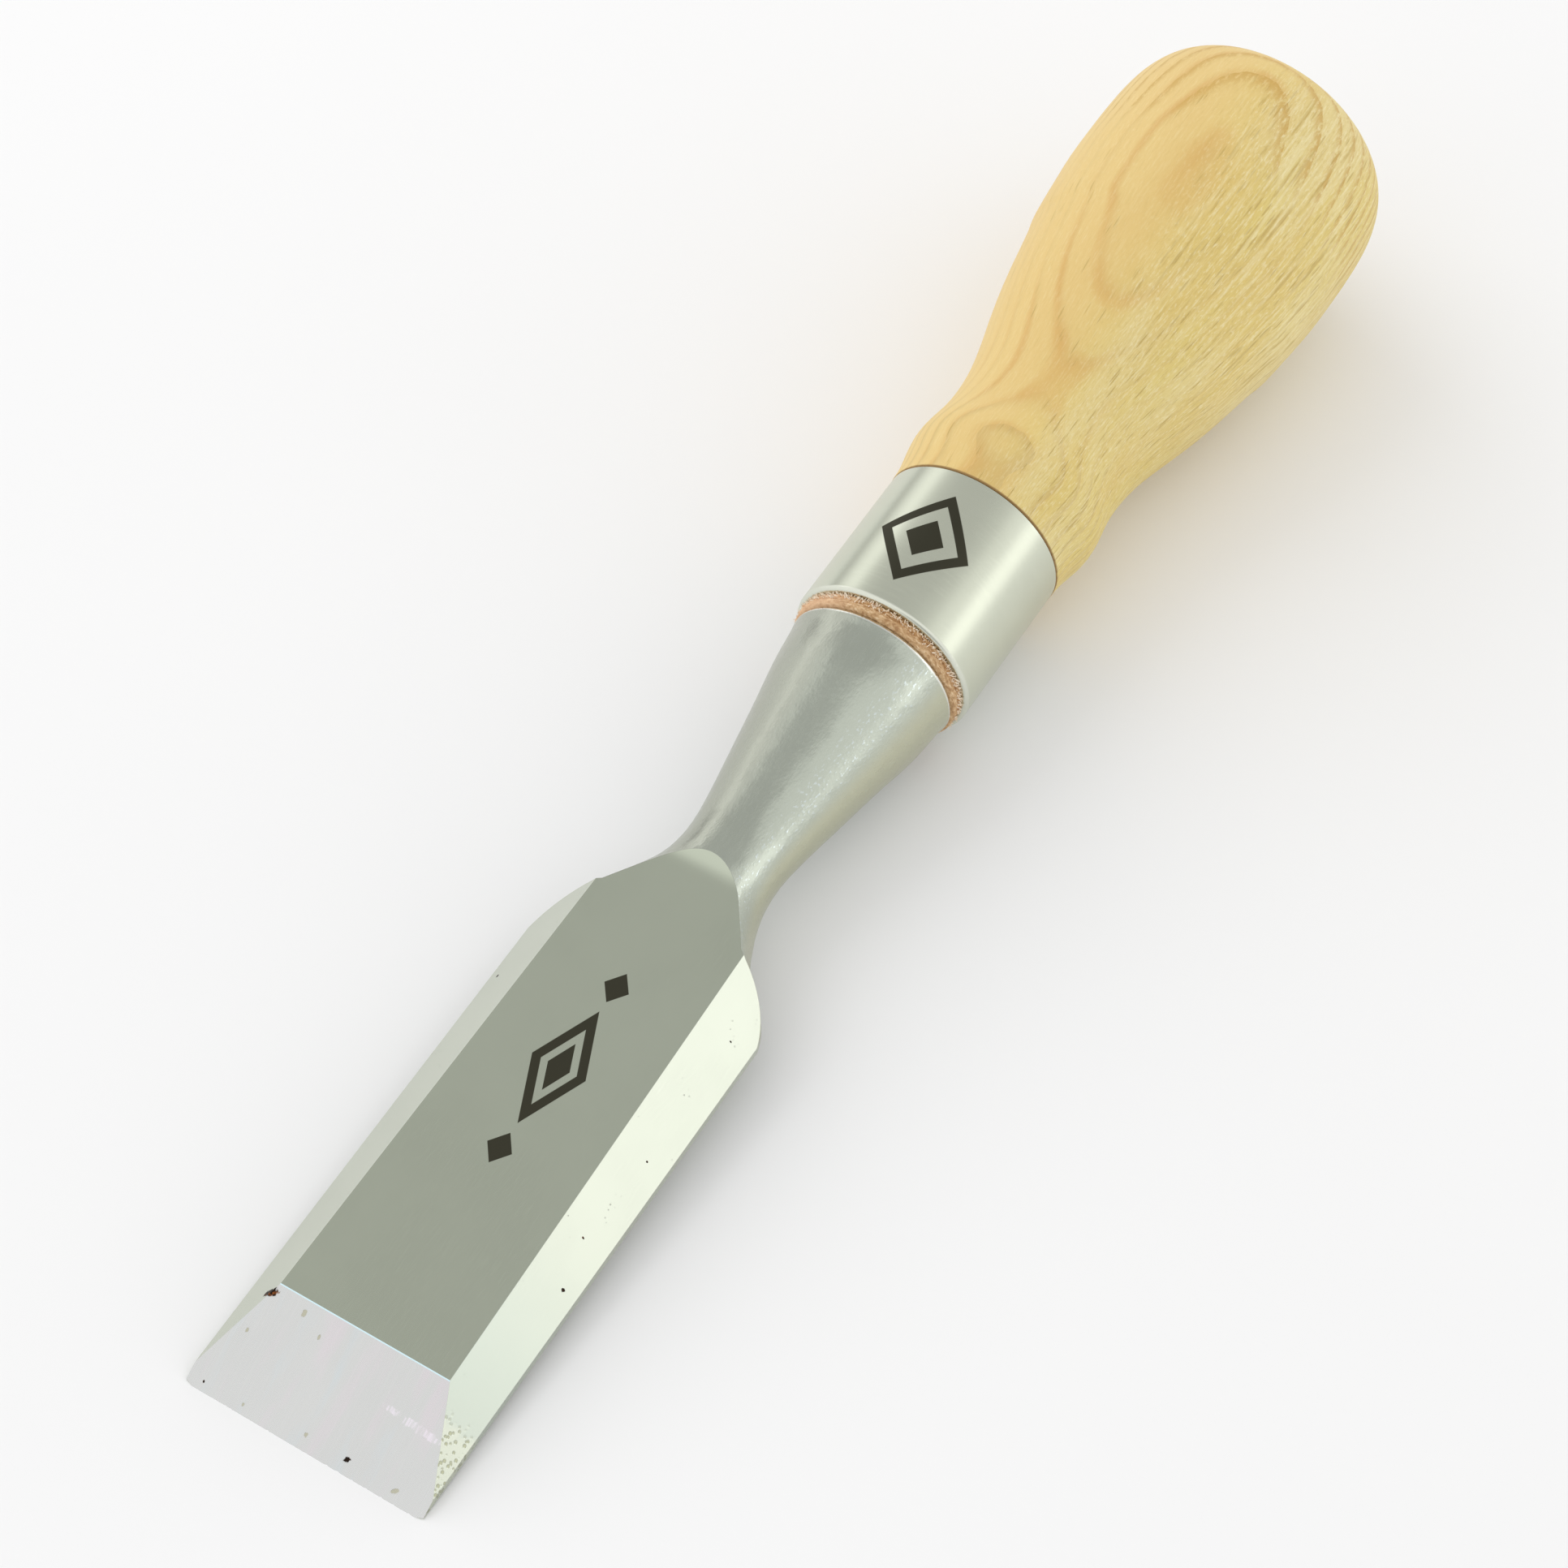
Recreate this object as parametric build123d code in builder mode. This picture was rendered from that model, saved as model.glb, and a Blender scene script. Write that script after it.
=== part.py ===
from build123d import *
import os
from math import atan2, cos, degrees, sin, tan

os.makedirs("parts", exist_ok=True)

# A short bevel-edge chisel with a leather washer, a steel ferrule and a turned wooden handle.
# Tool frame: X runs from the cutting edge back along the handle's axis (the X axis itself),
# Y across the blade, Z out of the blade's bevelled face. Every piece is drawn in this frame
# and then set down with REST, which lays the chisel on a bench. Millimetres throughout.

# ---- Blade ----
BLADE_WIDTH = 32.0
BACK_DEPTH = 2.0  # the flat back's depth under the handle's axis
HEEL_X = 13.2  # where the grinding bevel meets the top flat
HEEL_THICKNESS = 6.35
TOP_SLOPE = 1.16  # degrees the top flat rises towards the shoulder
SIDE_SLOPE = 48.6  # degrees of the long side bevels
SIDE_LAND = 1.1  # height of the square side left under each side bevel
TOP_RUNOUT_X = 80.5  # where the top flat starts to sweep up into the neck
TOP_RUNOUT_R = 8.0
TOP_RUNOUT_TURN = 45  # degrees, enough to leave the neck
GRIND_HEIGHT = 30.0  # reach of the grinding cuts above the blade
GRIND_OVERRUN = 5.0
GRIND_STOCK = 1.0  # height the top grinding takes off the plate

# ---- Shoulder outline, one side, as (x, half width) ----
SHOULDER_START = (68.0, BLADE_WIDTH / 2)
SHOULDER_MID = (71.7, 14.15)
SHOULDER_END = (74.5, 10.6)
PLATE_TIP = (79.0, 4.0)  # the plate's end, buried in the neck

# ---- Neck and bolster ----
# The shoulder narrows into the neck. One section a row: x, half width, top height, bottom depth,
# fullness of the corners above and below the axis.
SHOULDER_SECTIONS = (
    (72.5, 11.80, 8.80, 1.55, 0.92, 0.92),
    (74.5, 10.75, 8.50, 1.90, 0.89, 0.90),
    (76.5, 9.75, 8.20, 2.45, 0.82, 0.84),
    (79.0, 8.60, 7.75, 3.55, 0.73, 0.75),
    (81.5, 7.65, 7.12, 4.75, 0.65, 0.66),
    (84.0, 6.98, 6.72, 5.85, 0.58, 0.59),
)
ROUND = 0.5523  # the fullness that makes a section round
BOLSTER_RINGS = (  # x, radius, from the round neck to the bolster's face
    (86.5, 6.62), (88.5, 6.56), (91.0, 6.74), (94.0, 7.14), (98.0, 7.79),
    (103.0, 8.62), (109.0, 9.66), (115.0, 10.67), (120.25, 11.50),
)
BOLSTER_X = BOLSTER_RINGS[-1][0]
BOLSTER_RIM_R = 0.7
TANG_ROOT = 9.0  # square
TANG_TIP = 4.5
TANG_END_X = 176.0

# ---- Leather washer ----
WASHER_R = 11.75
WASHER_HOLE_R = 6.4
WASHER_EDGE = 0.2

# ---- Ferrule ----
FERRULE_X = 122.0
FERRULE_END_X = 144.0
FERRULE_R = 12.3
FERRULE_WALL = 1.2
FERRULE_RIM = 0.6
FERRULE_BACK_EDGE = 0.15

# ---- Handle ----
HANDLE_START_R = 12.05
HANDLE_NOSE_R = 0.3  # rounding of the wood where it meets the ferrule
HANDLE_NOSE_SLOPE = 0.04
HANDLE_GRIP = (
    (146.5, 12.53),
    (149.0, 13.02),
    (151.6, 13.38),
    (153.8, 13.24),
    (156.6, 12.80),
    (160.5, 12.62),
    (165.5, 13.12),
    (172.0, 14.68),
    (180.0, 16.62),
    (189.0, 18.27),
)
REST_POINT = (199.0, 19.52)  # the bulb's touching point on the bench
HANDLE_END = ((206.0, 19.76), (213.0, 19.62), (218.0, 18.85), (220.8, 17.40))
CAP_R = 31.4  # the shallow domed end
CAP_CENTRE_X = 195.0
CAP_EDGE_R = 14.5
PILOT_R = 4.0
PILOT_STEP_X = 150.0
PILOT_TIP_R = 2.75
PILOT_END_X = 180.0

DEGREE = 1 / degrees(1)
FERRULE_BORE_R = FERRULE_R - FERRULE_WALL
HALF = BLADE_WIDTH / 2
SECTION = Plane.XZ
HEEL_Z = HEEL_THICKNESS - BACK_DEPTH
BEVEL_SLOPE = HEEL_THICKNESS / HEEL_X


def across(x):
    """The plane square to the axis at x, its own x across the blade and its own y up."""
    return Plane(origin=(x, 0, 0), x_dir=(0, 1, 0), z_dir=(1, 0, 0))


def top_flat(x):
    """Height of the ground top flat at x."""
    return HEEL_Z + (x - HEEL_X) * tan(TOP_SLOPE * DEGREE)


RUNOUT_Z = top_flat(TOP_RUNOUT_X)

# ================= BLADE: one forging of blade, neck, bolster cone and tang =================
with BuildPart() as blade:
    # the plate, square-sided, with the rounded shoulders
    with BuildSketch(Plane.XY.offset(-BACK_DEPTH)):
        with BuildLine():
            Polyline((0, 0), (0, HALF), SHOULDER_START)
            ThreePointArc(SHOULDER_START, SHOULDER_MID, SHOULDER_END)
            Polyline(SHOULDER_END, PLATE_TIP, (PLATE_TIP[0], 0), (0, 0))
        make_face()
        mirror(about=Plane.XZ)
    extrude(amount=BACK_DEPTH + RUNOUT_Z + GRIND_STOCK)

    # the shoulder narrowing into the round neck, which widens to the bolster
    for x, wide, top, bottom, full_top, full_bottom in SHOULDER_SECTIONS + tuple(
        (x, radius, radius, radius, ROUND, ROUND) for x, radius in BOLSTER_RINGS
    ):
        with BuildSketch(across(x)):
            with BuildLine():
                for side in (1, -1):
                    Bezier((side * wide, 0), (side * wide, full_top * top),
                           (side * full_top * wide, top), (0, top))
                    Bezier((0, -bottom), (side * full_bottom * wide, -bottom),
                           (side * wide, -full_bottom * bottom), (side * wide, 0))
            make_face()
    loft()
    fillet(blade.faces().sort_by(Axis.X)[-1].edges(), BOLSTER_RIM_R)

    # the square tapering tang
    with BuildSketch(across(BOLSTER_X)):
        Rectangle(TANG_ROOT, TANG_ROOT)
    with BuildSketch(across(TANG_END_X)):
        Rectangle(TANG_TIP, TANG_TIP)
    loft(ruled=True)

    # top flat with its swept run-out
    with BuildSketch(SECTION):
        with BuildLine():
            flat = Line((-GRIND_OVERRUN, top_flat(-GRIND_OVERRUN)), (TOP_RUNOUT_X, RUNOUT_Z))
            sweep_up = JernArc(flat @ 1, flat % 1, TOP_RUNOUT_R, TOP_RUNOUT_TURN)
            Polyline(sweep_up @ 1, ((sweep_up @ 1).X, GRIND_HEIGHT),
                     (-GRIND_OVERRUN, GRIND_HEIGHT), flat @ 0)
        make_face()
    extrude(amount=BLADE_WIDTH, both=True, mode=Mode.SUBTRACT)

    # grinding bevel at the cutting edge
    with BuildSketch(SECTION):
        with BuildLine():
            Polyline((0, -BACK_DEPTH), (GRIND_HEIGHT, GRIND_HEIGHT * BEVEL_SLOPE - BACK_DEPTH),
                     (-GRIND_OVERRUN, GRIND_HEIGHT), (-GRIND_OVERRUN, -BACK_DEPTH), close=True)
        make_face()
    extrude(amount=BLADE_WIDTH, both=True, mode=Mode.SUBTRACT)

    # long side bevels
    with BuildSketch(across(-GRIND_OVERRUN)):
        with BuildLine():
            Polyline((HALF, SIDE_LAND - BACK_DEPTH), (HALF + GRIND_OVERRUN, SIDE_LAND - BACK_DEPTH),
                     (HALF + GRIND_OVERRUN, GRIND_HEIGHT),
                     (HALF - (GRIND_HEIGHT + BACK_DEPTH - SIDE_LAND) / tan(SIDE_SLOPE * DEGREE), GRIND_HEIGHT),
                     close=True)
        make_face()
        mirror(about=Plane.YZ)
    extrude(amount=PLATE_TIP[0] + GRIND_OVERRUN, mode=Mode.SUBTRACT)

# ================= LEATHER WASHER between the bolster and the ferrule =================
with BuildPart() as washer:
    with BuildSketch(across(BOLSTER_X)):
        Circle(WASHER_R)
        Circle(WASHER_HOLE_R, mode=Mode.SUBTRACT)
    extrude(amount=FERRULE_X - BOLSTER_X)
    chamfer(washer.edges().filter_by(GeomType.CIRCLE).group_by(SortBy.RADIUS)[-1], WASHER_EDGE)

# ================= FERRULE, a plain steel tube with a softened front rim =================
with BuildPart() as ferrule:
    with BuildSketch(across(FERRULE_X)):
        Circle(FERRULE_R)
        Circle(FERRULE_BORE_R, mode=Mode.SUBTRACT)
    extrude(amount=FERRULE_END_X - FERRULE_X)
    outer = ferrule.edges().filter_by(GeomType.CIRCLE).group_by(SortBy.RADIUS)[-1]
    fillet(outer.group_by(Axis.X)[0], FERRULE_RIM)
    chamfer(outer.group_by(Axis.X)[-1], FERRULE_BACK_EDGE)

# ================= HANDLE, turned wood with a tenon in the ferrule =================
REST_SLOPE = (REST_POINT[1] - BACK_DEPTH) / REST_POINT[0]
with BuildPart() as handle:
    with BuildSketch(SECTION):
        with BuildLine():
            nose = (FERRULE_END_X + HANDLE_NOSE_R, HANDLE_START_R + HANDLE_NOSE_R)
            cap_edge = (CAP_CENTRE_X + (CAP_R**2 - CAP_EDGE_R**2) ** 0.5, CAP_EDGE_R)
            Polyline((FERRULE_X, 0), (FERRULE_X, FERRULE_BORE_R), (FERRULE_END_X, FERRULE_BORE_R),
                     (FERRULE_END_X, HANDLE_START_R))
            RadiusArc((FERRULE_END_X, HANDLE_START_R), nose, HANDLE_NOSE_R)
            Spline(nose, *HANDLE_GRIP, REST_POINT, tangents=((1, HANDLE_NOSE_SLOPE), (1, REST_SLOPE)))
            Spline(REST_POINT, *HANDLE_END, cap_edge,
                   tangents=((1, REST_SLOPE), (CAP_EDGE_R, CAP_CENTRE_X - cap_edge[0])))
            RadiusArc(cap_edge, (CAP_CENTRE_X + CAP_R, 0), CAP_R)
            Line((CAP_CENTRE_X + CAP_R, 0), (FERRULE_X, 0))
        make_face()
    revolve(axis=Axis.X)
    # drilled pilot hole, and the wood bitten by the tang's corners
    with BuildSketch(across(FERRULE_X)):
        Circle(PILOT_R)
    extrude(amount=PILOT_STEP_X - FERRULE_X, mode=Mode.SUBTRACT)
    with BuildSketch(across(PILOT_STEP_X)):
        Circle(PILOT_TIP_R)
    extrude(amount=PILOT_END_X - PILOT_STEP_X, mode=Mode.SUBTRACT)
    with BuildSketch(across(BOLSTER_X)):
        Rectangle(TANG_ROOT, TANG_ROOT)
    with BuildSketch(across(TANG_END_X)):
        Rectangle(TANG_TIP, TANG_TIP)
    loft(ruled=True, mode=Mode.SUBTRACT)

# ---- Set down on the bench: cutting edge and handle bulb both touch z = 0, and the origin is
# under the middle of the chisel's length ----
REST_TILT = atan2(REST_SLOPE, 1)
LOW_X = BACK_DEPTH * sin(REST_TILT)
HIGH_X = CAP_CENTRE_X * cos(REST_TILT) + CAP_R
REST = Pos(-(LOW_X + HIGH_X) / 2, 0, BACK_DEPTH * cos(REST_TILT)) * Rot(0, -degrees(REST_TILT), 0)

blade.part.label = "blade"
washer.part.label = "leather_washer"
ferrule.part.label = "ferrule"
handle.part.label = "handle"
for piece in (blade, washer, ferrule, handle):
    piece.part.locate(REST)
export_step(blade.part, "parts/blade.step")
export_step(washer.part, "parts/leather_washer.step")
export_step(ferrule.part, "parts/ferrule.step")
export_step(handle.part, "parts/handle.step")
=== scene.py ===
import random
from math import cos, pi, radians, sin

import bmesh
import bpy
from mathutils import Matrix, Vector, noise


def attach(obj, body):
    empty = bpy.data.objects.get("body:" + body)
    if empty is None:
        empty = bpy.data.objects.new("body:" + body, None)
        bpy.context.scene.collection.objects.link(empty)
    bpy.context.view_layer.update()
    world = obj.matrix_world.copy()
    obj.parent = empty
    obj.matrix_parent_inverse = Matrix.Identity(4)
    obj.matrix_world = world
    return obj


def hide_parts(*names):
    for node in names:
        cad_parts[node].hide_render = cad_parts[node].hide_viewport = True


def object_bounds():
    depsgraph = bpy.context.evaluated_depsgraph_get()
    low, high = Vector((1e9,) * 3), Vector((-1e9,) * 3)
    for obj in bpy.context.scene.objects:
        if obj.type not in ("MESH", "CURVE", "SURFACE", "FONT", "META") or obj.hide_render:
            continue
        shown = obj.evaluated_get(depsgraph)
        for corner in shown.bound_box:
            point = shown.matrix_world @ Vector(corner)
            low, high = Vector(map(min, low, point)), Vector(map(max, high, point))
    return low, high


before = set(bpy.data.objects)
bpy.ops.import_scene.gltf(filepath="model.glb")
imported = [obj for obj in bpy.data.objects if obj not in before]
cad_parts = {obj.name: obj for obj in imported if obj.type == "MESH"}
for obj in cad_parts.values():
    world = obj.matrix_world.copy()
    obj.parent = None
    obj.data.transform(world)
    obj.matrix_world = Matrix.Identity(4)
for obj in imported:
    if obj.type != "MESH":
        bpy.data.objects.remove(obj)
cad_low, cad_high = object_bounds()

MM = 0.001

# ---- The tool's own frame, in millimetres: X along the handle's axis from the cutting edge,
# Y across the blade, Z out of the bevelled face. The chisel lies tilted on the bench, on its
# cutting edge and the handle's bulb. ----
TILT = radians(5.0314)
BACK_DEPTH = 2.0  # the flat back under the axis
TOOL_ORIGIN = Vector((cad_low.x - BACK_DEPTH * MM * sin(TILT), 0, BACK_DEPTH * MM * cos(TILT)))
TOOL_TURN = Matrix.Rotation(-TILT, 4, "Y")
TO_ROW = Matrix.Translation(TOOL_ORIGIN) @ TOOL_TURN @ Matrix.Scale(MM, 4)
TO_TOOL = TO_ROW.inverted()

# ---- Camera: in front of the blade, above it and a little to its right-hand side ----
CAMERA_AZIMUTH = -59.12
CAMERA_ELEVATION = 51.66
CAMERA_ROLL = 1.44
CAMERA_DISTANCE = 474.6 * MM
CAMERA_AIM = Vector((-12.91, 0.51, 10.80)) * MM
LENS_MM = 90.4
SENSOR_MM = 36.0


def place_camera():
    azimuth, elevation, roll = map(radians, (CAMERA_AZIMUTH, CAMERA_ELEVATION, CAMERA_ROLL))
    back = Vector((sin(azimuth) * cos(elevation), -cos(azimuth) * cos(elevation), sin(elevation)))
    level = Vector((cos(azimuth), sin(azimuth), 0))
    upright = back.cross(level)
    right = cos(roll) * level + sin(roll) * upright
    up = back.cross(right)
    camera = bpy.data.objects.new("camera", bpy.data.cameras.new("camera"))
    camera.data.lens = LENS_MM
    camera.data.sensor_width = SENSOR_MM
    camera.data.clip_start = 10 * MM
    turn = Matrix((right, up, back)).transposed().to_4x4()
    camera.matrix_world = Matrix.Translation(CAMERA_AIM + back * CAMERA_DISTANCE) @ turn
    bpy.context.collection.objects.link(camera)
    bpy.context.scene.camera = camera


# ================= Materials =================
class Look:
    """A node material in the making. Each method adds one node and returns its output."""

    def __init__(self, name):
        self.material = bpy.data.materials.new(name)
        self.material.use_nodes = True
        self.nodes = self.material.node_tree.nodes
        self.shader = self.nodes["Principled BSDF"]
        where = self.add("TexCoord", {}, "Object")
        self.place = self.add("Mapping", {"Vector": where, "Location": TOOL_ORIGIN,
                                          "Rotation": TOOL_TURN.to_euler(), "Scale": (MM, MM, MM)},
                              vector_type="TEXTURE")
        self.x, self.y, self.z = self.add("SeparateXYZ", {"Vector": self.place}, None).outputs

    def add(self, kind, inputs, output=0, **settings):
        node = self.nodes.new("ShaderNode" + kind)
        for key, value in settings.items():
            setattr(node, key, value)
        for key, value in inputs.items():
            self.feed(node.inputs[key], value)
        return node if output is None else node.outputs[output]

    def feed(self, socket, value):
        if isinstance(value, bpy.types.NodeSocket):
            self.material.node_tree.links.new(value, socket)
        else:
            socket.default_value = value

    def finish(self, **values):
        for key, value in values.items():
            self.feed(self.shader.inputs[key.replace("_", " ")], value)
        return self.material

    def math(self, operation, a, b=0.0, c=0.0):
        return self.add("Math", {0: a, 1: b, 2: c}, operation=operation)

    def plus(self, a, b):
        return self.math("ADD", a, b)

    def minus(self, a, b):
        return self.math("SUBTRACT", a, b)

    def times(self, a, b):
        return self.math("MULTIPLY", a, b)

    def stretch(self, x, y, z):
        return self.add("VectorMath", {0: self.place, 1: (x, y, z)}, operation="MULTIPLY")

    def noise(self, vector, scale=1.0, detail=2.0, roughness=0.5, distortion=0.0):
        return self.add("TexNoise", {"Vector": vector, "Scale": scale, "Detail": detail,
                                     "Roughness": roughness, "Distortion": distortion})

    def cells(self, vector, scale=1.0):
        return self.add("TexVoronoi", {"Vector": vector, "Scale": scale}, "Distance")

    def between(self, value, low, high, start=0.0, end=1.0):
        """value, from low to high, turned smoothly into start to end."""
        return self.add("MapRange", {"Value": value, "From Min": low, "From Max": high,
                                     "To Min": start, "To Max": end}, interpolation_type="SMOOTHSTEP")

    def ramp(self, value, stops):
        node = self.add("ValToRGB", {"Fac": value}, None)
        points = node.color_ramp.elements
        while len(points) < len(stops):
            points.new(0.5)
        for point, (position, colour) in zip(points, stops):
            point.position = position
            point.color = (*colour, 1)
        return node.outputs["Color"]

    def mix(self, factor, a, b):
        a, b = (value if isinstance(value, bpy.types.NodeSocket) else (*value, 1) for value in (a, b))
        return self.add("Mix", {0: factor, 6: a, 7: b}, 2, data_type="RGBA")

    def bump(self, height, strength, distance):
        """distance in millimetres"""
        return self.add("Bump", {"Height": height, "Strength": strength, "Distance": distance * MM})

    def spot(self, x, y, length, width, turn=0.0):
        """1 inside a ragged oval round (x, y), its length turned from X, seen along Z; 0 outside."""
        place = self.add("CombineXYZ", {0: self.x, 1: self.y})
        place = self.add("Mapping", {"Vector": place, "Location": (x, y, 0), "Rotation": (0, 0, turn),
                                     "Scale": (length, width, 1)}, vector_type="TEXTURE")
        away = self.add("VectorMath", {0: place}, "Value", operation="LENGTH")
        ragged = self.plus(away, self.noise(self.place, 2.5))
        return self.between(ragged, 0.95, 1.15, 1.0, 0.0)


def scaled(colour, factor):
    return tuple(factor * channel for channel in colour)


BLADE_STEEL = (0.52, 0.56, 0.455)  # the ground flats
SIDE_STEEL = (0.595, 0.625, 0.53)
NECK_STEEL = (0.495, 0.53, 0.455)  # the polished neck and bolster
CUTTING_STEEL = (0.65, 0.655, 0.645)  # the freshly ground cutting bevel
FERRULE_STEEL = (0.635, 0.66, 0.545)
SHADED_NECK_STEEL = (0.415, 0.425, 0.36)  # painted shade: the neck's left-hand side, darker
WARM_REFLECTION_STEEL = (0.54, 0.545, 0.41)  # painted reflection: the neck's right-hand side, warmer
# painted highlight: the lighter tint of the neck's smoother spots in the highlight band
FACET_HIGHLIGHT = (0.58, 0.635, 0.61)
# painted highlight on the bolster's rim
BOLSTER_RIM_HIGHLIGHT = (0.80, 0.81, 0.75)
# painted highlight on the ferrule's front rim
FERRULE_RIM_HIGHLIGHT = (0.86, 0.87, 0.80)
BEVEL_FRONT = (0.53, 0.59, 0.52)  # the front of the right side bevel
BEVEL_PATCH = (0.72, 0.72, 0.58)  # its rough patch
PATCH_BUBBLE = (0.33, 0.33, 0.17)
GROUND_BLUE = (0.60, 0.69, 0.73)
GROUND_PINK = (0.74, 0.64, 0.70)
# painted highlight streak on the cutting bevel
GROUND_HIGHLIGHT_STREAK = (0.95, 0.86, 0.97)
# painted highlight line along the heel
HEEL_HIGHLIGHT = (0.66, 0.86, 0.92)
PALE_PIT = (0.44, 0.42, 0.28)
ETCH = (0.060, 0.058, 0.040)
SOOT = (0.03, 0.02, 0.015)
RUST = (0.30, 0.10, 0.03)
HEEL_X = 13.2
BOLSTER_RIM_X = 119.5


def steel_look(name, colour, lines, line_depth, roughness, pits=0.0, pit_size=0.5, mark=None, spots=(),
               extra=None):
    """Worked steel. lines is the stretch that draws out the polishing lines, in 1/mm along x, y, z."""
    look = Look(name)
    scratch = look.noise(look.stretch(*lines), 1.0, 5.0, 0.65)
    cloud = look.noise(look.place, 0.09, 3.0)
    tint = look.mix(look.between(cloud, 0.3, 0.7), colour, scaled(colour, 0.96))
    tint = look.mix(look.between(scratch, 0.45, 0.75), tint, scaled(colour, 1.0 + 0.5 * line_depth))
    rough = look.plus(look.between(scratch, 0.3, 0.7, -0.3 * line_depth, 0.3 * line_depth), roughness)
    relief = look.times(scratch, line_depth)
    if extra is not None:
        tint, relief, rough = extra(look, tint, relief, rough)
    if pits:
        holes = look.between(look.cells(look.place, 1 / pit_size), 0.12, 0.26, 1.0, 0.0)
        where = look.between(look.noise(look.place, 0.30, 3.0), 1 - pits, 1.08 - pits)
        holes = look.times(holes, where)
        tint = look.mix(look.times(holes, 0.45), tint, scaled(colour, 0.5))
        relief = look.minus(relief, holes)
    for place in spots:
        hole = look.spot(*place)
        stain = look.mix(look.between(look.noise(look.place, 2.0), 0.53, 0.68), SOOT, RUST)
        tint = look.mix(hole, tint, stain)
        relief = look.minus(relief, look.times(hole, 2.0))
        rough = look.plus(rough, look.times(hole, 0.3))
    if mark is not None:
        inside = mark(look)
        tint = look.mix(inside, tint, ETCH)
        rough = look.plus(rough, look.times(inside, 0.25))
    return look.finish(Base_Color=tint, Metallic=1.0, Roughness=rough,
                       Normal=look.bump(relief, 0.6, 0.05))


# small blemishes: x, y, length, width, turn
HEEL_CHIP = ((11.95, 11.95, 1.6, 0.8, radians(-59)),)
SIDE_PITS = ((30.0, -14.6, 0.35, 0.3), (60.0, 14.8, 0.35, 0.3), (36.0, -13.4, 0.25, 0.2),
             (48.0, -14.0, 0.2, 0.2), (66.0, -13.8, 0.2, 0.2))
BEVEL_PITS = ((1.5, -5.1, 0.7, 0.5, radians(-59)), (1.0, 14.0, 0.25, 0.2))
PALE_PITS = ((11.8, 7.2, 0.6, 0.45), (10.4, 4.4, 0.6, 0.25), (1.2, -11.6, 0.9, 0.35, radians(-59)),
             (1.6, 0.4, 0.5, 0.4), (1.0, 8.6, 0.4, 0.3), (7.5, 12.3, 0.4, 0.3))


def front_pitting(look, tint, relief, rough):
    """The rough patch at the front end of the right side bevel, which is a little greyer there."""
    front = look.times(look.between(look.x, 38.0, 14.0), look.between(look.y, -8.0, -9.0))
    tint = look.mix(look.times(front, 0.6), tint, BEVEL_FRONT)
    bubbles = look.between(look.cells(look.place, 1.5), 0.22, 0.42, 1.0, 0.0)
    ragged = look.plus(look.x, look.times(look.noise(look.place, 0.7), 5.0))
    where = look.times(look.between(ragged, 13.5, 11.0), look.between(look.y, -9.0, -11.0))
    tint = look.mix(look.times(where, 0.4), tint, BEVEL_PATCH)
    bubbles = look.times(bubbles, where)
    tint = look.mix(look.times(bubbles, 0.6), tint, PATCH_BUBBLE)
    return tint, look.minus(relief, look.times(bubbles, 1.5)), rough


def ground_sheen(look, tint, relief, rough):
    """Faint rainbow streaks along the grinding lines, a painted highlight streak parallel to the
    cutting edge on its right-hand half, and a painted highlight line at the heel.
    """
    drift = look.noise(look.stretch(0.04, 0.32, 0.1), 1.0, 3.0)
    rainbow = look.ramp(drift, ((0.32, GROUND_BLUE), (0.45, CUTTING_STEEL), (0.56, CUTTING_STEEL),
                                (0.70, GROUND_PINK)))
    tint = look.mix(0.35, tint, rainbow)
    # painted highlight: a lighter streak across the grinding lines
    painted_highlight_streak = look.times(look.spot(7.6, -10.6, 8.0, 0.75, radians(86)),
                       look.between(look.noise(look.stretch(0.3, 3.5, 0.3), 1.0, 3.0), 0.35, 0.65))
    tint = look.mix(look.times(painted_highlight_streak, 0.5), tint, GROUND_HIGHLIGHT_STREAK)
    for place in PALE_PITS:
        pit = look.spot(*place)
        tint = look.mix(look.times(pit, 0.7), tint, PALE_PIT)
        relief = look.minus(relief, pit)
    # painted highlight: a light bluish line along the heel
    heel = look.between(look.x, HEEL_X - 0.18, HEEL_X - 0.08)
    return look.mix(heel, tint, HEEL_HIGHLIGHT), relief, rough


SPARKLE_TURN = radians(-46)  # round the neck from the top, to the right-hand side: the middle of the band where the highlight lies


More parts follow.
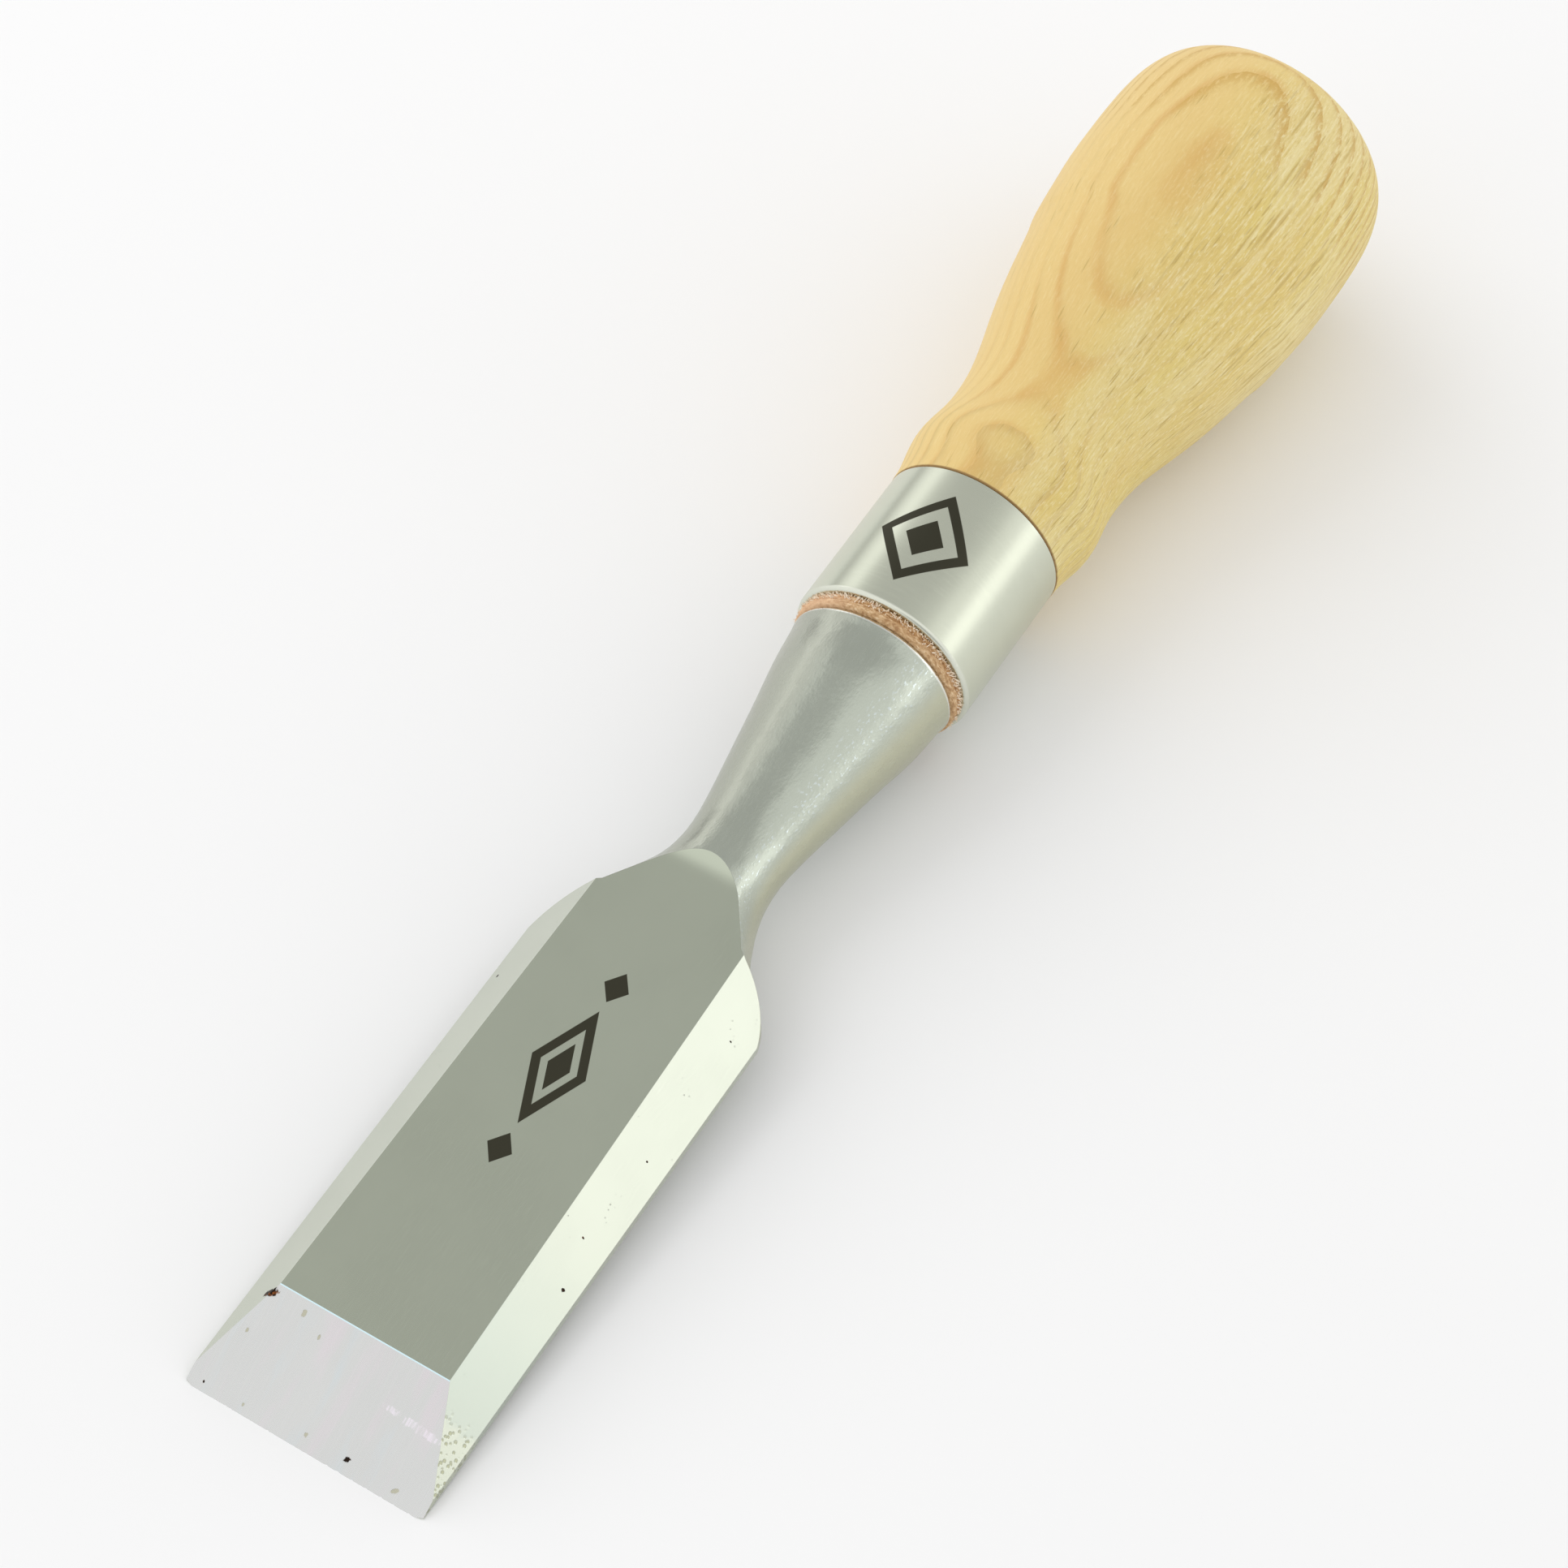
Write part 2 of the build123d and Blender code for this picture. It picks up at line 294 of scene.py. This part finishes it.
def sparkle(look, tint, relief, rough):
    """The fine unevenness left by hand polishing, with small spots that are smoother than the
    rest, most of them in a band along the neck where the highlight lies, their tint lighter
    there: a painted highlight. The left side is darkened, a painted shade, the right one
    tinted warmer, a painted reflection, and the bolster's rim is lightened, a painted highlight."""
    turn = look.math("ARCTAN2", look.y, look.z)
    # painted shade: the neck's left-hand side is darkened
    painted_left_shade = look.times(look.between(turn, 0.0, radians(25)),
                      look.between(turn, radians(150), radians(110)))
    tint = look.mix(look.times(painted_left_shade, 0.75), tint, SHADED_NECK_STEEL)
    # painted reflection: the neck's right-hand side is tinted warmer
    painted_warm_reflection = look.times(look.between(turn, radians(-55), radians(-75)),
                      look.between(turn, radians(-150), radians(-110)))
    tint = look.mix(painted_warm_reflection, tint, WARM_REFLECTION_STEEL)
    grit = look.noise(look.stretch(1.8, 3.0, 3.0), 1.0, 2.0, 0.5)
    aside = look.math("ABSOLUTE", look.minus(turn, SPARKLE_TURN))
    # smoother spots in the highlight band: less rough, and lighter in tint, a painted highlight
    facets_and_highlight = look.times(look.between(grit, 0.58, 0.68), look.between(aside, 0.32, 0.10, 0.08, 1.0))
    tint = look.mix(facets_and_highlight, tint, FACET_HIGHLIGHT)
    # painted highlight: the bolster's rim is lightened
    rim = look.between(look.x, BOLSTER_RIM_X - 0.1, BOLSTER_RIM_X + 0.1)
    tint = look.mix(rim, tint, BOLSTER_RIM_HIGHLIGHT)
    return tint, look.plus(relief, look.times(grit, 0.8)), look.minus(rough, look.times(facets_and_highlight, 0.14))


def painted_rim_highlight(look, tint, relief, rough):
    """The ferrule's front rim, its tint lightened: a painted highlight."""
    # painted highlight: the rim's tint is lightened
    rim = look.between(look.x, WASHER_END_X + 0.65, WASHER_END_X + 0.45)
    return look.mix(look.times(rim, 0.35), tint, FERRULE_RIM_HIGHLIGHT), relief, rough


def lozenge(look, along, across, middle, length, width, rim):
    """A lozenge round middle: 1 on its line, rim wide, or all over it if rim is 0."""
    reach = look.plus(look.math("ABSOLUTE", look.times(look.minus(along, middle), 2 / length)),
                      look.math("ABSOLUTE", look.times(across, 2 / width)))
    inside = look.between(reach, 0.98, 1.0, 1.0, 0.0)
    if rim:
        inside = look.times(inside, look.between(reach, 1 - 2 * rim / width, 1.02 - 2 * rim / width))
    return inside


# a plain row of lozenges etched on the blade, and one on the ferrule: place along X from the
# mark's middle, length, width, and the width of the outline, or 0 for a solid one
BLADE_MARK_X = 51.5
BLADE_MARK_SIZES = ((-12.0, 4.4, 3.4, 0), (0.0, 17.0, 7.4, 1.3), (0.0, 7.0, 3.0, 0),
                    (12.0, 4.4, 3.4, 0))
FERRULE_MARK_X = 133.0
FERRULE_MARK_SIZES = ((0.0, 15.0, 13.0, 1.8), (0.0, 6.2, 5.4, 0))
FERRULE_MARK_TURN = radians(1)
FERRULE_R = 12.3


def etched(look, across, middle, sizes):
    inside = None
    for offset, length, width, rim in sizes:
        one = lozenge(look, look.x, across, middle + offset, length, width, rim)
        inside = one if inside is None else look.math("MAXIMUM", inside, one)
    return inside


def blade_mark(look):
    """On the top flat only: the same finish is on the flat back, under the axis."""
    above = look.between(look.z, -0.5, 0.5)
    return look.times(etched(look, look.y, BLADE_MARK_X, BLADE_MARK_SIZES), above)


def ferrule_mark(look):
    turn = look.minus(look.math("ARCTAN2", look.y, look.z), FERRULE_MARK_TURN)
    return etched(look, look.times(turn, FERRULE_R), FERRULE_MARK_X, FERRULE_MARK_SIZES)


# ---- The ash's growth rings: nearly flat sheets that rise slowly along the handle ----
RING_LEAN = radians(-7)  # the rings' upward direction, turned from Z towards Y
RING_RISE = 0.093  # slope of the grain along the handle
RING_LEVEL_X = 197.0
PITH_DEPTH = 90.0  # under the handle's axis
RING_SPACING = 1.69
RING_START = 15.92  # height of one ring line over the axis
SWIRL_RISE = 0.68  # lifts the rings near the ferrule, which closes a small loop there
RINGS_BELOW = 100  # keeps the ring count positive
GRAIN_R = 16.0  # turns an angle round the handle into millimetres
GAP_X = 144.0
CAP_X = 219.0
LEFT_WOOD = (0.775, 0.565, 0.215)
RIGHT_WOOD = (0.745, 0.585, 0.18)
RUDDY_WOOD = (0.70, 0.46, 0.15)
EARLY_WOOD = (0.60, 0.44, 0.16)  # just above each ring line
BLEACHED_WOOD = (0.82, 0.71, 0.38)
RING_LINE = (0.66, 0.38, 0.10)
PORE = (0.55, 0.385, 0.10)
FIBRE = (0.90, 0.80, 0.48)
DARK_FIBRE = (0.58, 0.41, 0.12)
PALE_FLECK = (0.90, 0.80, 0.50)
DARK_FLECK = (0.60, 0.43, 0.13)
CREST_SPECKLE = (0.60, 0.37, 0.08)
GAP = (0.30, 0.17, 0.05)  # the shadow line behind the ferrule


def ring_phase(look):
    """0 to 1 from one ring line up to the next."""
    wander = look.noise(look.stretch(0.035, 0.09, 0.09), 1.0, 2.0)
    ripple = look.noise(look.stretch(0.25, 0.7, 0.7), 1.0, 2.0)
    up = look.plus(look.times(look.z, cos(RING_LEAN)), look.times(look.y, sin(RING_LEAN)))
    aside = look.minus(look.times(look.y, cos(RING_LEAN)), look.times(look.z, sin(RING_LEAN)))
    rise = look.times(look.minus(look.x, RING_LEVEL_X), RING_RISE)
    high = look.plus(look.minus(up, rise), PITH_DEPTH)
    radius = look.math("SQRT", look.plus(look.times(high, high), look.times(aside, aside)))
    depth = look.minus(radius, PITH_DEPTH + RING_START)
    depth = look.plus(depth, look.plus(look.times(look.minus(wander, 0.5), 0.7),
                                       look.times(look.minus(ripple, 0.5), 0.22)))
    depth = look.plus(depth, look.between(look.x, 155.5, 149.5, 0.0, SWIRL_RISE))
    return look.math("FRACT", look.plus(look.times(depth, 1 / RING_SPACING), RINGS_BELOW))


def wood_look():
    look = Look("ash")
    turn = look.math("ARCTAN2", look.y, look.z)
    skin = look.add("CombineXYZ", {0: look.x, 1: look.times(turn, GRAIN_R)})

    def on_skin(along, across):
        """The place on the handle's surface, in cells along it and round it per millimetre."""
        return look.add("VectorMath", {0: skin, 1: (along, across, 1)}, operation="MULTIPLY")

    def grain(along, across, detail=3.0, roughness=0.5):
        return look.noise(on_skin(along, across), 1.0, detail, roughness)

    # where: the turned side rather than the domed end, and the open-grained right-hand side
    on_side = look.between(look.x, CAP_X + 2, CAP_X - 2)
    coarse = look.between(look.y, 3.0, -11.0)
    open_grain = look.times(coarse, on_side)

    # the growth rings
    phase = ring_phase(look)
    early = look.between(phase, 0.0, 0.45, 1.0, 0.0)
    line = look.math("MAXIMUM", look.between(phase, 0.26, 0.0), look.between(phase, 0.74, 1.0))
    strength = look.times(look.between(grain(0.05, 0.25), 0.35, 0.65, 0.25, 0.70),
                          look.between(coarse, 0.2, 1.0, 1.0, 0.15))
    strength = look.times(strength, look.between(look.y, 11.5, 5.5, 0.12, 1.0))
    wood = look.mix(coarse, LEFT_WOOD, RIGHT_WOOD)
    wood = look.mix(look.between(grain(0.03, 0.12), 0.35, 0.7, 0.0, 0.30), wood, RUDDY_WOOD)
    wood = look.mix(look.times(early, look.between(look.x, 158, 152, 0.18, 0.65)), wood, EARLY_WOOD)
    wood = look.mix(look.times(line, strength), wood, RING_LINE)

    # fibres and flecks
    bleached = look.times(look.between(grain(0.04, 0.10), 0.40, 0.66), look.between(coarse, 0.2, 0.9))
    wood = look.mix(look.times(bleached, 0.40), wood, BLEACHED_WOOD)
    fibre = grain(0.32, 3.4, 5.0, 0.7)
    pale = look.times(look.between(fibre, 0.50, 0.70), look.between(open_grain, 0.1, 1.0, 0.22, 0.65))
    wood = look.mix(pale, wood, FIBRE)
    dark = look.times(look.between(fibre, 0.47, 0.30), look.between(open_grain, 0.1, 1.0, 0.28, 0.60))
    wood = look.mix(dark, wood, DARK_FIBRE)
    flecks = grain(1.2, 4.0, 2.0)
    flecked = look.between(open_grain, 0.0, 0.8, 0.10, 0.42)
    wood = look.mix(look.times(look.between(flecks, 0.55, 0.68), flecked), wood, PALE_FLECK)
    wood = look.mix(look.times(look.between(flecks, 0.42, 0.30), flecked), wood, DARK_FLECK)

    # pores: dashes along the grain on the side, dots on the domed end
    dashes = look.times(look.between(look.cells(on_skin(0.20, 2.6)), 0.16, 0.32, 1.0, 0.0), on_side)
    dots = look.times(look.between(look.cells(look.stretch(0.3, 2.4, 2.4)), 0.10, 0.26, 1.0, 0.0),
                      look.minus(1.0, on_side))
    near_ferrule = look.between(look.x, 158, 150)
    crowd = look.plus(grain(0.05, 0.45), look.times(coarse, 0.21))
    crowd = look.plus(crowd, look.times(early, look.plus(look.times(near_ferrule, 0.15), 0.08)))
    pores = look.times(look.math("MAXIMUM", dashes, dots), look.between(crowd, 0.54, 0.76))
    wood = look.mix(look.times(pores, 0.8), wood, PORE)

    # long streaks on the right-hand side of the bulb
    far_side = look.times(look.between(look.y, 0.0, -9.0), look.between(look.x, 165.0, 190.0))
    far_side = look.times(far_side, on_side)
    streaks = look.times(look.between(look.cells(on_skin(0.06, 1.3)), 0.14, 0.36, 1.0, 0.0), far_side)
    wood = look.mix(look.times(streaks, look.between(fibre, 0.36, 0.62, 0.95, 0.45)), wood, PORE)
    lift = look.times(look.between(grain(0.07, 2.2, 2.0), 0.50, 0.64), far_side)
    wood = look.mix(look.times(lift, 0.30), wood, FIBRE)

    # dark speckles where a ring crosses the top of the bulb
    crest = look.times(early, look.between(look.x, 201, 208))
    speckle = look.between(look.noise(look.stretch(0.7, 1.6, 1.6), 1.0, 3.0, 0.7), 0.36, 0.56)
    wood = look.mix(look.times(look.times(crest, speckle), 0.85), wood, CREST_SPECKLE)

    wood = look.mix(look.between(look.x, GAP_X + 0.35, GAP_X + 0.12), wood, GAP)
    rough = look.between(fibre, 0.3, 0.7, 0.42, 0.58)
    relief = look.times(fibre, look.between(open_grain, 0.0, 1.0, 0.25, 0.9))
    relief = look.minus(relief, look.times(pores, 0.5))
    return look.finish(Base_Color=wood, Roughness=rough, Normal=look.bump(relief, 0.8, 0.10))


WASHER_X = 120.25
WASHER_END_X = 122.0
WASHER_R = 11.75
WASHER_HOLE_R = 6.4


# the washer's smooth layer, next to the bolster, and its rough one: noise value, colour
SMOOTH_LEATHER = ((0.38, (0.42, 0.23, 0.10)), (0.54, (0.67, 0.44, 0.23)), (0.67, (0.86, 0.66, 0.43)))
ROUGH_LEATHER = ((0.34, (0.24, 0.10, 0.03)), (0.50, (0.52, 0.29, 0.12)), (0.66, (0.86, 0.66, 0.42)))
LIT_SIDE_LEATHER = (0.84, 0.53, 0.33)  # painted light: its left-hand side, made lighter and peachier


def leather_look():
    look = Look("tan_leather")
    mottle = look.noise(look.stretch(4.0, 1.3, 1.3), 1.0, 5.0, 0.7)
    layer = look.between(look.plus(look.x, look.times(mottle, 0.5)), WASHER_X + 0.75, WASHER_X + 1.05)
    colour = look.mix(layer, look.ramp(mottle, SMOOTH_LEATHER), look.ramp(mottle, ROUGH_LEATHER))
    # painted light: the left-hand side is lightened to a peach tone
    colour = look.mix(look.between(look.y, 1.0, 8.0, 0.0, 0.55), colour, LIT_SIDE_LEATHER)
    return look.finish(Base_Color=colour, Roughness=0.85, Normal=look.bump(mottle, 0.8, 0.2))


def fluff_look():
    look = Look("leather_fluff")
    tint = look.mix(look.noise(look.place, 1.2), (0.82, 0.64, 0.42), (0.97, 0.91, 0.80))
    return look.finish(Base_Color=tint, Roughness=0.9)


def floor_look():
    look = Look("pale_floor")
    cloud = look.noise(look.place, 0.01, 2.0)
    colour = look.mix(cloud, (0.91, 0.91, 0.91), (0.93, 0.93, 0.93))
    return look.finish(Base_Color=colour, Roughness=0.9)


# ================= Pieces =================
SHARP = radians(20)  # faces that meet at more than this make an edge
CREASE = radians(26)  # and at more than this, a crease in the shading
EDGE_BREAK = 0.10  # mm, the softening of the blade's arrises
SAME_POINT = 1e-6
FLAT_ENOUGH = radians(0.05)
SHOULDER_X = 69.0
RUNOUT_END_X = 85.0
NECK_X = 100.0
BLADE_HALF_WIDTH = 16.0
# the two cuts that round off each corner of the cutting edge: slant, depth in mm
CORNER_CUTS = ((0.35, 0.35), (1.1, 0.245))
NICKS = 130
EDGE_ROW = 0.05  # mm, from the nicked edge to the row of points behind it
SEED = 7


def blade_region(face):
    """The number of the material for a face of the blade, from where it is and how it faces."""
    middle = TO_TOOL @ face.calc_center_median()
    facing = (TO_TOOL.to_3x3() @ face.normal).normalized()
    if middle.x > RUNOUT_END_X:
        return 0
    if middle.x < HEEL_X and facing.x < -0.3 and facing.z > 0.8:
        return 3
    level = abs(facing.y) < 0.01
    if facing.z < -0.99 or (level and facing.x < -0.01 and facing.z > 0.6):
        return 1
    side = abs(facing.x) < 0.01 and (0.6 < facing.z < 0.7 or abs(facing.z) < 0.01)
    return 2 if side or middle.x < SHOULDER_X else 0


def is_arris(edge):
    """An edge to be softened: a sharp one on the blade, but not the cutting edge."""
    ends = [(TO_TOOL @ corner.co).x for corner in edge.verts]
    return min(ends) > EDGE_BREAK and max(ends) < NECK_X and edge.calc_face_angle(0) > SHARP


def wear_cutting_edge(shape):
    """Round off the two corners of the cutting edge a little and nick the edge."""
    for side in (-1, 1):
        for slant, depth in CORNER_CUTS:
            normal = Vector((-1, side * slant, 0)).normalized()
            corner = Vector((0, side * BLADE_HALF_WIDTH, 0)) - depth * normal
            place, facing = TO_ROW @ corner, (TO_ROW.to_3x3() @ normal).normalized()
            cut = bmesh.ops.bisect_plane(shape, geom=shape.verts[:] + shape.edges[:] + shape.faces[:],
                                         plane_co=place, plane_no=facing, clear_outer=True, dist=1e-7)
            rim = [piece for piece in cut["geom_cut"] if isinstance(piece, bmesh.types.BMEdge)]
            bmesh.ops.holes_fill(shape, edges=rim, sides=0)
    draw = random.Random(SEED)
    front = [edge for edge in shape.edges
             if max((TO_TOOL @ corner.co).x for corner in edge.verts) < 0.01]
    made = bmesh.ops.subdivide_edges(shape, edges=front, cuts=NICKS)
    corners = {piece for piece in made["geom_inner"] if isinstance(piece, bmesh.types.BMVert)}
    for corner in sorted(corners, key=lambda corner: corner.co.y):
        place = TO_TOOL @ corner.co
        place.x += abs(draw.gauss(0, 0.02)) + (draw.random() < 0.06) * draw.uniform(0.05, 0.12)
        corner.co = TO_ROW @ place


def build_blade():
    """The CAD blade's shape with its arrises softened and each ground face given its own finish."""
    shape = bmesh.new()
    shape.from_mesh(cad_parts["blade"].data)
    bmesh.ops.remove_doubles(shape, verts=shape.verts, dist=SAME_POINT)
    flats = [edge for edge in shape.edges if all(blade_region(face) for face in edge.link_faces)]
    bmesh.ops.dissolve_limit(shape, angle_limit=FLAT_ENOUGH, edges=flats)
    wear_cutting_edge(shape)
    arrises = [edge for edge in shape.edges if is_arris(edge)]
    bmesh.ops.bevel(shape, geom=arrises, offset=EDGE_BREAK * MM, segments=2, profile=0.5,
                    affect="EDGES", clamp_overlap=True)
    # a row of points of its own behind the nicked edge: without it the cutting bevel and the
    # back, which share the edge's points, get some of the same triangles
    ground = [face for face in shape.faces if blade_region(face) == 3]
    bevel = max(ground, key=lambda face: len(face.verts))
    bmesh.ops.inset_individual(shape, faces=[bevel], thickness=EDGE_ROW * MM)
    for face in shape.faces:
        face.material_index = blade_region(face)
        face.smooth = True
    for edge in shape.edges:
        edge.smooth = edge.calc_face_angle(0) < CREASE
    mesh = bpy.data.meshes.new("forged_blade")
    shape.to_mesh(mesh)
    shape.free()
    for material in (
        steel_look("polished_neck", NECK_STEEL, (0.5, 4.0, 4.0), 0.06, 0.26, extra=sparkle),
        steel_look("ground_flat", BLADE_STEEL, (0.5, 6.0, 6.0), 0.015, 0.24, mark=blade_mark),
        steel_look("side_bevel", SIDE_STEEL, (0.5, 6.0, 6.0), 0.01, 0.22, pits=0.36,
                   pit_size=0.55, extra=front_pitting, spots=HEEL_CHIP + SIDE_PITS),
        steel_look("cutting_bevel", CUTTING_STEEL, (0.10, 7.0, 0.1), 0.06, 0.28, pits=0.26,
                   pit_size=0.6, extra=ground_sheen, spots=HEEL_CHIP + BEVEL_PITS),
    ):
        mesh.materials.append(material)
    piece = bpy.data.objects.new("forged_blade", mesh)
    bpy.context.collection.objects.link(piece)
    shading = piece.modifiers.new("even_shading", "WEIGHTED_NORMAL")
    shading.keep_sharp = True
    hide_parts("blade")
    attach(piece, "root")


RIM_STEPS = 720
EDGE_STEPS = 14
FLUFF_COUNT = 800


def around(x, radius, turn):
    """A point of the tool's round parts, in the row frame."""
    return TO_ROW @ Vector((x, radius * sin(turn), radius * cos(turn)))


def washer_radius(share, turn):
    """The washer's rough outer edge; share runs from its bolster side to its ferrule side."""
    place = Vector((9 * sin(turn), 9 * cos(turn), 3 * share))
    coarse = noise.noise(place * 0.9)
    fine = noise.noise(place * 3.5 + Vector((5, 0, 0)))
    groove = -0.12 * max(0.0, 1 - abs(share - 0.55) / 0.12)
    rounding = -(0.45 if share < 0.5 else 0.2) * abs(2 * share - 1) ** 6
    return WASHER_R - 0.2 + 0.10 * coarse + (0.05 + 0.12 * share) * fine + groove + rounding


def build_washer():
    shape = bmesh.new()
    thick = WASHER_END_X - WASHER_X
    rings = []
    for step in range(RIM_STEPS):
        turn = 2 * pi * step / RIM_STEPS
        ring = [shape.verts.new(around(WASHER_X, WASHER_HOLE_R, turn))]
        for layer in range(EDGE_STEPS + 1):
            share = layer / EDGE_STEPS
            place = around(WASHER_X + share * thick, washer_radius(share, turn), turn)
            ring.append(shape.verts.new(place))
        ring.append(shape.verts.new(around(WASHER_END_X, WASHER_HOLE_R, turn)))
        rings.append(ring)
    for one, two in zip(rings, rings[1:] + rings[:1]):
        for k in range(len(one)):
            j = (k + 1) % len(one)
            shape.faces.new((one[k], one[j], two[j], two[k])).smooth = True
    bmesh.ops.recalc_face_normals(shape, faces=shape.faces)
    mesh = bpy.data.meshes.new("leather_ring")
    shape.to_mesh(mesh)
    shape.free()
    mesh.materials.append(leather_look())
    piece = bpy.data.objects.new("leather_ring", mesh)
    bpy.context.collection.objects.link(piece)
    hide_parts("leather_washer")
    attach(piece, "root")


def build_fluff():
    """Loose fibres standing out of the washer's cut edge, as thin three-sided spikes."""
    shape = bmesh.new()
    draw = random.Random(SEED)
    for _ in range(FLUFF_COUNT):
        turn = draw.uniform(0, 2 * pi)
        share = min(1.0, draw.triangular(0.35, 1.05, 0.95))
        x = WASHER_X + share * (WASHER_END_X - WASHER_X)
        radius = washer_radius(share, turn) - 0.08
        root = Vector((x, radius * sin(turn), radius * cos(turn)))
        out = Vector((0, sin(turn), cos(turn)))
        side = Vector((0, cos(turn), -sin(turn)))
        lean = (out * draw.uniform(0.5, 1.0) + side * draw.uniform(-1.2, 1.2)
                + Vector((draw.uniform(-0.5, 0.9), 0, 0)))
        length = draw.uniform(0.30, 0.70)
        width = draw.uniform(0.05, 0.12)
        tip = root + lean.normalized() * length + out * 0.05
        middle = (root + tip) / 2 + out * draw.uniform(0.0, 0.12)
        points = []
        for centre, wide in ((root, width), (middle, 0.8 * width)):
            arms = [wide * (cos(a) * side + sin(a) * Vector((1, 0, 0)))
                    for a in (0, 2 * pi / 3, 4 * pi / 3)]
            points.append([shape.verts.new(TO_ROW @ (centre + arm)) for arm in arms])
        end = shape.verts.new(TO_ROW @ tip)
        shape.faces.new(reversed(points[0]))
        for k in range(3):
            j = (k + 1) % 3
            shape.faces.new((points[0][k], points[0][j], points[1][j], points[1][k]))
            shape.faces.new((points[1][k], points[1][j], end))
    bmesh.ops.recalc_face_normals(shape, faces=shape.faces)
    mesh = bpy.data.meshes.new("leather_fibres")
    shape.to_mesh(mesh)
    shape.free()
    mesh.materials.append(fluff_look())
    piece = bpy.data.objects.new("leather_fibres", mesh)
    bpy.context.collection.objects.link(piece)
    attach(piece, "root")


def dress(node, material):
    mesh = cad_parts[node].data
    mesh.materials.clear()
    mesh.materials.append(material)


# ================= Studio: a pale tent, darker overhead beyond the handle =================
TENT_BRIGHT = 1.05
# darker patches in the tent: direction from the chisel, inner and outer half angles, brightness
TENT_PATCHES = (
    ((0.40, 0.12, 0.91), radians(24), radians(38), 0.63),
    ((0.45, -0.32, 0.83), radians(8), radians(24), 0.70),
    ((0.45, 0.52, 0.73), radians(6), radians(20), 0.68),
    ((0.50, 0.86, 0.00), radians(3), radians(12), 0.35),
    ((-0.85, -0.42, 0.25), radians(12), radians(35), 0.50),
)
# name, direction from the chisel, distance, width, height, radiance added to the tent's, and
# whether it is seen in reflections
SOFTBOXES = (
    ("right_strip", (0.63, -0.73, 0.28), 0.9, 1.0, 0.26, 0.62, True),
    ("left_strip", (0.46, 0.77, 0.43), 0.9, 0.9, 0.20, 0.32, True),
    ("left_key", (0.10, 0.75, 0.65), 1.3, 1.2, 1.2, 0.75, False),
)


def build_world():
    world = bpy.data.worlds.new("studio")
    bpy.context.scene.world = world
    world.use_nodes = True
    nodes, links = world.node_tree.nodes, world.node_tree.links
    where = nodes.new("ShaderNodeTexCoord").outputs["Generated"]
    strength = None
    for towards, inner, outer, brightness in TENT_PATCHES:
        facing = nodes.new("ShaderNodeVectorMath")
        facing.operation = "DOT_PRODUCT"
        facing.inputs[1].default_value = Vector(towards).normalized()
        links.new(where, facing.inputs[0])
        fade = nodes.new("ShaderNodeMapRange")
        fade.interpolation_type = "SMOOTHSTEP"
        for key, value in {"From Min": cos(outer), "From Max": cos(inner),
                           "To Min": TENT_BRIGHT, "To Max": brightness}.items():
            fade.inputs[key].default_value = value
        links.new(facing.outputs["Value"], fade.inputs["Value"])
        if strength is None:
            strength = fade.outputs["Result"]
        else:
            darker = nodes.new("ShaderNodeMath")
            darker.operation = "MINIMUM"
            links.new(strength, darker.inputs[0])
            links.new(fade.outputs["Result"], darker.inputs[1])
            strength = darker.outputs["Value"]
    links.new(strength, nodes["Background"].inputs["Strength"])
    nodes["Background"].inputs["Color"].default_value = (1, 1, 1, 1)


def build_studio():
    bpy.ops.mesh.primitive_plane_add(size=4)
    floor = bpy.context.object
    floor.name = "floor"
    floor.data.materials.append(floor_look())
    build_world()
    for name, towards, distance, width, height, radiance, reflected in SOFTBOXES:
        light = bpy.data.lights.new(name, "AREA")
        light.shape = "RECTANGLE"
        light.size, light.size_y = width, height
        light.energy = radiance * pi * width * height
        lamp = bpy.data.objects.new(name, light)
        towards = Vector(towards).normalized()
        lamp.location = towards * distance
        lamp.rotation_euler = towards.to_track_quat("Z", "Y").to_euler()
        lamp.visible_glossy = reflected
        bpy.context.collection.objects.link(lamp)
    bpy.context.scene.view_settings.view_transform = "Standard"


place_camera()
build_studio()
build_blade()
build_washer()
build_fluff()
dress("ferrule", steel_look("turned_steel", FERRULE_STEEL, (3.0, 0.3, 0.3), 0.01, 0.27,
                           mark=ferrule_mark, extra=painted_rim_highlight))
dress("handle", wood_look())
